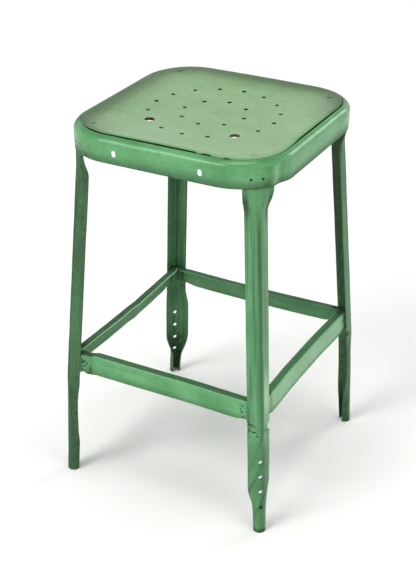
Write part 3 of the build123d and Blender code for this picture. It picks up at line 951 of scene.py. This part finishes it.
# %% Leg meshes
def leg_mesh(name, quarter, seed, trough, slow=0.0, pull=0.0, slide=0.0, keep=0.0, twist=0.0, scar=0.0,
             raised=0.0, slanted=0.0, painted_sheen=0.0, inner_dirt_and_shade=0.0, outer_dirt=0.0):
    """One leg, turned by quarters from the rear right corner, slightly uneven from use."""
    bent = (math.radians(trough), slow, pull, slide, keep, math.radians(twist))
    points = np.vstack([strip_point(h, loop_along, loop_depth, *bent) for h in levels])
    height = points[:, 2].copy()
    along, depth = np.tile(loop_along, len(levels)), np.tile(loop_depth, len(levels))
    wobble = 0.35 * waves(side_by_side(along * 1.2, height, 90.0 * seed), 34.0, seed)
    wobble *= ease(height, 0, 30) * ease(height, FLARE_TOP, FLARE_FOOT)
    points[:, :2] += (wobble / math.sqrt(2))[:, None]
    # Each notch was closed by a rough weld: a slanting groove between two lumpy ridges
    to_edge = STRIP / 2 - np.abs(along)
    wander = 2.2 * waves(side_by_side(along, 30.0 * seed, along), 5.0, seed + 3)
    notch = BEND + np.where(along < 0, raised, 0.0)
    to_groove = height - notch + 0.35 * to_edge - 2.5 + wander
    scarred = scar * ease(np.abs(along), 6, 10)
    rough = 1.0 + 1.6 * waves(side_by_side(along, height, 40.0 * seed), 3.2, seed + 5)
    ridges = bump(to_groove, 2.6, 1.5) + bump(to_groove, -3.2, 1.8)
    groove = bump(to_groove, 0.0, 1.2)
    lump = scarred * (0.95 * ridges * rough - 0.9 * groove) * (depth < LEG_SHEET)
    points[:, 0] += np.where(along < 0, lump, 0.0)
    points[:, 1] += np.where(along > 0, lump, 0.0)
    # Painted shade darkens the fold; painted shade and dirt darken the inside of the trough and of the
    # rolled foot, the edges just under the skirt are darker, and dirt lies at the foot and at the weld
    inside = depth > LEG_SHEET / 2
    at_fold = bump(along, 0.0, 3.5) * ease(height, 540, 500) * (0.4 + 0.6 * ease(height, 150, 190))
    weathered = 0.28 * ease(height, 186, 150) + 0.14 * ease(height, 270, 400)
    in_trough = inner_dirt_and_shade * (1 - 0.5 * bump(height, 200, 30)) + 0.5 * ease(height, 120, 45)
    on_outside = outer_dirt + weathered + 0.6 * at_fold * (1 - 0.6 * outer_dirt)
    near_skirt = bump(height, 542, 20) * ease(to_edge, 13, 4)
    near_bend = scar * bump(height, notch, 6) * ease(to_edge, 16, 6)
    foot_lip = ease(to_edge, 16, 5) * ease(height, 70, 25) * ~inside
    dirt_and_shade = np.where(inside, in_trough, on_outside) + 0.9 * ease(height, 10, 2) + 0.35 * near_bend
    dirt_and_shade += 0.5 * foot_lip + near_skirt + 0.7 * scarred * groove * ~inside
    rust = 0.3 * near_skirt + 0.3 * near_bend + 0.9 * ease(height, 6, 1)
    rust += scarred * (0.5 * groove + 0.6 * ridges * (rough < 0.8))
    # Below the bend of one leg the brush was pulled slantwise, and a painted sheen lightens one of its
    # flanges
    slant = slanted * 0.4 * np.maximum(0.0, BEND - height)
    painted_sheen_band = painted_sheen * ease(along, 5, 8) * bump(height, 240, 45)
    marks = {
        "sheet": side_by_side(along + slant + 300.0 * seed, height, depth * 20) * MM,
        "brushed": 0.35 + 0.65 * ease(height, 540, 470) * ease(height, 20, 60),
        "edge": ease(to_edge, 2.6, 0.4) + ease(height, 4, 0) - painted_sheen_band,
        "grime_and_shade": np.clip(dirt_and_shade, 0, 1),
        "rust": np.clip(rust, 0, 1),
    }
    faces = capped(len(levels), len(loop_along))
    return build(name, quarter_turned(points, quarter), faces, enamel, marks)


print("leg strip", STRIP, "mm wide and", LEG_SHEET, "mm thick")

# %% Leg holes and notches
HOLE_COUNT, HOLE_RADIUS, LOWEST_HOLE, HOLE_PITCH, HOLE_REACH, BLIND_REACH = 4, 3.25, 46.0, 27.0, 12.0, 4.0
FLANGE, PIT_EDGE, FLANGE_PIT_REACH = 25.5, 23.7, 1.5
WEDGE_REACH, WEDGE_TURN, WEDGE_STEPS = 4.0, 110.0, 15


def leg_punches(quarter, raised, notches, pits, lowest_reach):
    """Four drills through the fold, a notch in each flange at the bend, and weld pits in one flange.
    A notch has its depth, half width and bluntness; a pit its distance from the edge, height and radius."""
    tools = []
    for k in range(HOLE_COUNT):
        height = LOWEST_HOLE + HOLE_PITCH * k
        reach = lowest_reach if k == 0 else HOLE_REACH
        tools.append(round_punch((apex(height), apex(height), height), (1, 1, 0), HOLE_RADIUS, reach))
    face = flange_face(BEND)
    tip = face - FLANGE
    wedges = []
    for deep, wide, blunt in notches:
        wedge = []
        for a in np.radians(np.linspace(WEDGE_TURN, -WEDGE_TURN, WEDGE_STEPS)):
            tall = wide * np.sign(math.sin(a)) * abs(math.sin(a)) ** (1.0 / blunt)
            wedge.append((tip + deep * math.cos(a), BEND + tall))
        wedges.append(wedge)
    ends = (face + WEDGE_REACH, face - WEDGE_REACH)
    tools.append([[(end, w, h + raised) for w, h in wedges[0]] for end in ends])
    tools.append([[(w, end, h) for w, h in wedges[1]] for end in ends[::-1]])
    for inward, height, radius in pits:
        spot = (flange_face(height), apex(height) - PIT_EDGE + inward, height)
        tools.append(round_punch(spot, (1, 0, 0), radius, FLANGE_PIT_REACH, sides=12))
    return [quarter_turned(rings, quarter) for rings in tools]


print("leg holes at heights", [LOWEST_HOLE + HOLE_PITCH * k for k in range(HOLE_COUNT)])

# %% Four legs
# Use has opened the troughs of the left legs, closed those of the right legs a little and twisted one
leg_use = {
    "rear_right": dict(trough=96.0, slow=0.6, pull=1.6, keep=1.0, scar=0.8, inner_dirt_and_shade=1.0, outer_dirt=0.4),
    "rear_left": dict(trough=74.0, pull=4.6, slide=-2.0, scar=0.7, inner_dirt_and_shade=0.65),
    "front_left": dict(trough=80.0, slow=0.6, pull=0.8, keep=0.8, scar=0.2, inner_dirt_and_shade=0.6, outer_dirt=0.72),
    "front_right": dict(trough=92.0, pull=3.4, slide=3.5, twist=13.0, scar=1.0, raised=8.5, slanted=1.0,
                        painted_sheen=0.9, inner_dirt_and_shade=0.6, outer_dirt=0.1),
}
# A thin slit is left of most notches; on the most worn leg one gapes, and dirt fills the lowest hole
slit = (7.0, 0.7, 0.6)
worn_notches = ((3.0, 0.9, 0.6), (9.5, 7.0, 1.0))
worn_pits = (
    (2.6, 182.6, 1.5), (5.9, 181.4, 1.3), (10.3, 180.6, 1.7), (14.0, 181.8, 1.5), (17.4, 175.4, 1.7),
    (2.4, 213.5, 0.9))
for quarter, (corner, use) in enumerate(leg_use.items()):
    leg = leg_mesh("leg_" + corner + "_enamelled", quarter, 11 + quarter, **use)
    if corner == "front_right":
        cuts = leg_punches(quarter, use["raised"], worn_notches, worn_pits, BLIND_REACH)
    else:
        cuts = leg_punches(quarter, 0.0, (slit, slit), (), HOLE_REACH)
    punch(leg, "leg_punches_" + corner, cuts)
    shade(leg, sharp=42)
    hand_over(leg, "green_enamel", "leg_" + corner)

# %% [markdown]
# ## Foot rails
# Four angle rails tie the legs together and carry the feet of whoever sits. Each has a leaning web
# outside and a level ledge inside, and its ends are set outwards so that they lap behind the leg
# flanges. The ledges are mitred where two rails meet. The ledge is where boots rub, so it is dark.

# %% Rail section
RAIL_SHEET, LEDGE, FOLD = 1.9, 14.0, 3.0
LEAN = LEG_SLOPE * (RAIL_TOP - RAIL_FOOT)
web_run = np.array([LEAN, RAIL_TOP - RAIL_FOOT])
web_way = web_run / np.linalg.norm(web_run)
fold_turn = math.atan2(web_way[1], web_way[0])
tangent = FOLD * math.tan(fold_turn / 2)
web_length = np.linalg.norm(web_run) - tangent
fold_end = web_length + FOLD * fold_turn
full = fold_end + LEDGE - tangent


def rail_outer(run):
    """Place on the rail's outer skin after a run from the web's foot, and the way into the sheet."""
    foot = np.array([-LEAN, RAIL_FOOT])
    if run <= web_length:
        spot, turn = foot + web_way * run, 0.0
    elif run <= fold_end:
        turn = (run - web_length) / FOLD
        inward = np.array([web_way[1], -web_way[0]])
        centre = foot + web_way * web_length + inward * FOLD
        spot = centre + (web_way * math.sin(turn) - inward * math.cos(turn)) * FOLD
    else:
        spot, turn = np.array([tangent + run - fold_end, RAIL_TOP]), fold_turn
    way = fold_turn - turn
    return spot, np.array([math.sin(way), -math.cos(way)])


# Each point of the section has its inward distance, its height, its run along the sheet and its depth in it
half = RAIL_SHEET / 2
runs = np.concatenate([
    np.linspace(half, web_length, 18),
    web_length + FOLD * fold_turn * np.linspace(0.12, 1, 8),
    np.linspace(fold_end + 1.2, full - half, 8)])
outer_skin, inner_skin, lip, foot_edge = [], [], [], []
for run in runs:
    spot, inward = rail_outer(run)
    outer_skin.append((*spot, run, 0.0))
    inner_skin.append((*(spot + inward * RAIL_SHEET), run, RAIL_SHEET))
for edge, run, end_run, way in ((lip, runs[-1], full, 1), (foot_edge, runs[0], 0.0, -1)):
    spot, inward = rail_outer(run)
    along = np.array([-inward[1], inward[0]]) * way
    for a in ROUND_EDGE:
        round_spot = spot + half * (inward * (1 - math.cos(a)) + along * math.sin(a))
        edge.append((*round_spot, end_run, half))
section = np.array(outer_skin + lip + inner_skin[::-1] + foot_edge[::-1])
print("rail section of", len(section), "points,", round(full, 1), "mm of strip")

# %% Rail ends
LAP, SET_BACK, TAB_END, TAB_ROWS, FINE_ROWS, MITRE_GAP = 171.04, 165.74, 166.14, 149.0, 118.0, 0.6
LONG_STEP, FIRST_STEP, HIDDEN_STEP, FIRST_SHARE = (123.0, 135.0), (40.0, 150.0), (149.5, 155.5), 0.5
CRACK_X, DENT_WIDTH, PIT_DEPTH = -131.5, 11.0, 1.1


def rail_out(x, quarter):
    """How far a rail's web stands out at a place along it. The left end of the front rail was set out in
    one long step, the others in a slow sweep before the leg and a hidden step behind its flange."""
    short = FIRST_SHARE * ease(np.abs(x), *FIRST_STEP) + (1 - FIRST_SHARE) * ease(np.abs(x), *HIDDEN_STEP)
    share = np.where((x < 0) & (quarter == 0), ease(-x, *LONG_STEP), short)
    return SET_BACK + (LAP - SET_BACK) * share


def beaten_lumps(x, run, quarter):
    """The long step was beaten and welded over: height of its lumps and its crack, and the dirt there."""
    beaten = ease(-x, 126, 131) * ease(-x, TAB_ROWS, 146) * (quarter == 0)
    crack = bump(x, CRACK_X, 1.4) * ease(run, 17, 11) * (quarter == 0)
    lumps = 1.8 * beaten * waves(side_by_side(x, run, run), 5.5, seed=21) - 1.2 * crack
    return lumps, 0.25 * beaten + 0.9 * crack


def rail_pits(quarter, spots):
    """Shallow pits that the welder left on a web, from their place along it, height and radius."""
    pits = []
    for x, height, radius in spots:
        at, up = np.array([x]), np.array([(height - RAIL_FOOT) / web_way[1]])
        out = rail_out(at, quarter) + beaten_lumps(at, up, quarter)[0] + (RAIL_TOP - height) * LEG_SLOPE
        pit = round_punch((x, -float(out[0]), height), (0, -1, 0), radius, PIT_DEPTH, sides=12)
        pits.append(quarter_turned(pit, quarter))
    return pits


print("rail ends stand out by", round(LAP - SET_BACK, 1), "mm")


# %% Rail meshes
def rail_mesh(name, quarter, seed, ledge_dirt, inner_dirt_and_shade=0.15, dent=None, painted_lip_highlight=0.0, painted_web_sheen=0.0,
              leg_shadow=0.0):
    """One rail, turned by quarters from the front, with an optional dent and a painted shadow beside one
    leg.
    """
    rows = [np.full(len(section), x) for x in np.linspace(0, FINE_ROWS, 40)]
    rows += [np.full(len(section), x) for x in np.linspace(FINE_ROWS, TAB_ROWS, 40)[1:]]
    ends = np.minimum(TAB_END, LAP - section[:, 0] - MITRE_GAP)
    rows += [TAB_ROWS + (ends - TAB_ROWS) * share for share in np.linspace(0, 1, 13)[1:]]
    rows = [-row for row in rows[:0:-1]] + rows
    x = np.concatenate(rows)
    inset, height, run, depth = np.tile(section, (len(rows), 1)).T
    lumps, lump_dirt = beaten_lumps(x, run, quarter)
    on_ledge = ease(run, web_length, web_length + 6)
    wave = 0.5 * waves(side_by_side(x, run * 1.5, 50.0 * seed), 48.0, seed) * ease(np.abs(x), 144, 104)
    hit = 0.0 * x if dent is None else bump(x, dent, DENT_WIDTH)
    y = inset - rail_out(x, quarter) - lumps + (wave + 1.6 * hit) * (1 - on_ledge)
    trimmed = 0.1 * ease(np.abs(x), 122, 146) * (RAIL_TOP - height)
    z = height + trimmed + (0.7 * wave - 2.2 * hit) * on_ledge * ease(run, web_length, full)
    # Boots dirty the ledge; dirt and painted shade darken the inside, dirt lies at the ends, the web darkens
    # towards its foot, and a painted shadow lies beside one leg
    outside = depth < RAIL_SHEET / 2
    ledge_top = ease(run, web_length + 1.5, web_length + 5.0) * outside
    at_end = ease(np.abs(x), 146, 152) * np.where(outside, 1.0, 0.2)
    boot_dirt = ledge_dirt * ease(full - run, 0.5, 2.5) + 0.7 * ease(np.abs(x), 139, 147)
    dirt_and_shade = ledge_top * boot_dirt + inner_dirt_and_shade * ~outside + 0.8 * at_end + lump_dirt
    dirt_and_shade += 0.5 * ease(run, 14, 1) * outside + leg_shadow * bump(x, CRACK_X, 4.2) * ease(run, 0, 9)
    # Negative edge marks paint a highlight on some lips and a sheen on one web
    on_web = (1 - on_ledge) * outside * ease(run, 2.0, 5.0)
    on_lip = ease(run, full - 2.4, full - 0.8)
    marks = {
        "sheet": side_by_side(run + 100.0 * seed, x, depth * 20) * MM,
        "brushed": np.where(outside, 0.2, 0.6),
        "edge": ease(run, 2.2, 0.3) - painted_lip_highlight * on_lip - painted_web_sheen * on_web,
        "grime_and_shade": np.clip(dirt_and_shade, 0, 1),
        "rust": np.clip(0.55 * at_end, 0, 1),
    }
    faces = [tuple(reversed(f)) for f in capped(len(rows), len(section))]
    return build(name, quarter_turned(side_by_side(x, y, z), quarter), faces, enamel, marks)


# The left ledge is the dirtiest and its lip carries a painted highlight; a painted sheen lightens the web of
# the right rail
rail_use = {
    "front": dict(ledge_dirt=0.75),
    "right": dict(ledge_dirt=0.62, leg_shadow=0.85, painted_web_sheen=0.52),
    "rear": dict(ledge_dirt=0.7, inner_dirt_and_shade=0.55, painted_lip_highlight=0.3),
    "left": dict(ledge_dirt=0.85, inner_dirt_and_shade=0.45, dent=-20.0, painted_lip_highlight=1.0),
}
front_spots = [
    (137.9, 216.2, 1.4), (135.6, 211.0, 1.3), (138.0, 206.4, 1.7), (140.5, 198.4, 1.6), (135.2, 194.6, 1.7),
    (-140.5, 217.0, 1.6), (-144.4, 213.2, 1.6), (-136.6, 213.4, 1.4), (-140.2, 208.8, 1.6)]
other_spots = [(-139.4, 212.0, 0.9), (-139.0, 200.0, 0.8)]
for quarter, (side, use) in enumerate(rail_use.items()):
    rail = rail_mesh("rail_" + side + "_enamelled", quarter, 21 + quarter, **use)
    punch(rail, "rail_pits_" + side, rail_pits(quarter, front_spots if side == "front" else other_spots))
    shade(rail, sharp=42)
    hand_over(rail, "green_enamel", "rail_" + side)

# %% [markdown]
# ## Welds
# A weld bead is a row of overlapping drops of metal. Geometry Nodes follow each seam's line, set a
# flattened drop every millimetre or two, and vary its size and turn with a fixed seed. The same tree
# serves the short upright seams at the rails and the curved seams under the skirt.

# %% Weld tree
bead_tree, bead_keys = new_tree(
    "weld_bead", Float=["Drop radius", "Drop spacing"], Int=["Seed"], Material=["Finish"])
tree = bead_tree
start = node(tree, "NodeGroupInput")
seam_line = {"Curve": start.outputs["Geometry"], "Length": start.outputs["Drop spacing"]}
line = node(tree, "GeometryNodeResampleCurve", seam_line, mode="LENGTH")
drop = node(tree, "GeometryNodeMeshIcoSphere", {"Radius": start.outputs["Drop radius"], "Subdivisions": 2})
spots = {"Points": line, "Instance": drop}
for name, low, high in (
    ("Scale", (0.5, 0.5, 0.45), (1.25, 1.25, 1.0)),
    ("Rotation", (-0.4, -0.4, 0.0), (0.4, 0.4, 6.28)),
):
    limits = {"Min": low, "Max": high, "Seed": start.outputs["Seed"]}
    spots[name] = node(tree, "FunctionNodeRandomValue", limits, data_type="FLOAT_VECTOR")
drops = node(tree, "GeometryNodeInstanceOnPoints", spots)
end_tree(tree, drops, {"Material": start.outputs["Finish"]})


def beads(name, seams, radius, spacing, seed, node_name):
    """All beads of one kind: seams are lists of millimetre points."""
    curve = bpy.data.curves.new(name + "_line", "CURVE")
    curve.dimensions = "3D"
    for seam in seams:
        spline = curve.splines.new("POLY")
        spline.points.add(len(seam) - 1)
        for point, spot in zip(spline.points, seam):
            point.co = [v * MM for v in spot] + [1.0]
    path = bpy.data.objects.new(name + "_line", curve)
    scene.collection.objects.link(path)
    mesh = run_tree(path, bead_tree, bead_keys, {
        "Drop radius": radius * MM, "Drop spacing": spacing * MM, "Seed": seed, "Finish": weld_paint})
    bpy.data.objects.remove(path)
    made = bpy.data.objects.new(name, mesh)
    scene.collection.objects.link(made)
    made.data.shade_smooth()
    hand_over(made, "painted_welds", node_name)


print("weld tree of", len(tree.nodes), "nodes")

# %% Rail and skirt welds
TACKS, LONG_SEAM = ((195.0, 198.0), (210.0, 216.5)), (RAIL_FOOT + 3.0, 208.0, RAIL_TOP - 4.0)
WEB_NEAR_LEG, ARC_TURN, ARC_POINTS, ARC_INSET, ARC_DROP = 148.0, 30.0, 12, 0.3, 0.5
SEAM_SHIFT, SEAM_DEPTH, TACK_SHIFT = 0.9, 1.9, 0.4
rail_seams, skirt_seams = [], []
web_top = float(rail_out(np.array([WEB_NEAR_LEG]), 1)[0])
for quarter in range(4):
    for side in (-1, 1):
        if quarter == 0 and side < 0:
            seam = []
            for height in LONG_SEAM:
                face = flange_face(height)
                seam.append((side * (face - FLANGE - SEAM_SHIFT), -(face - SEAM_DEPTH), height))
            rail_seams.append(quarter_turned(seam, quarter))
            continue
        for low, high in TACKS:
            seam = []
            for height, reach in ((low, 0.0), (low, 1.0), (high, 1.0), (high, 0.0)):
                face = flange_face(height)
                web = web_top + (RAIL_TOP - height) * LEG_SLOPE
                out = web + reach * (face - LEG_SHEET - web)
                seam.append((side * (face - FLANGE - TACK_SHIFT), -out, height))
            rail_seams.append(quarter_turned(seam, quarter))
    arc = []
    radius = PAN_CORNER - PAN_SHEET - ARC_INSET
    for k in range(ARC_POINTS + 1):
        a = math.radians(45 + ARC_TURN * (k / ARC_POINTS - 0.5))
        spot = CORNER_CENTRE + radius * math.cos(a), CORNER_CENTRE + radius * math.sin(a)
        arc.append((*spot, SKIRT_FOOT - ARC_DROP))
    skirt_seams.append(quarter_turned(arc, quarter))
beads("rail_weld_beads", rail_seams, radius=1.7, spacing=1.5, seed=7, node_name="rail_welds")
beads("pan_weld_beads", skirt_seams, radius=1.05, spacing=1.3, seed=9, node_name="pan_welds")

# %% [markdown]
# ## Close the lesson
# The drills and the trial rivet are tools, not pieces, so they are taken away, and the size of the finished
# stool is printed.

# %% Finish
for made in shop_tools:
    bpy.data.objects.remove(made)
low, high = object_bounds()
print("visual box, mm:", [round((b - a) / MM, 1) for a, b in zip(low, high)])
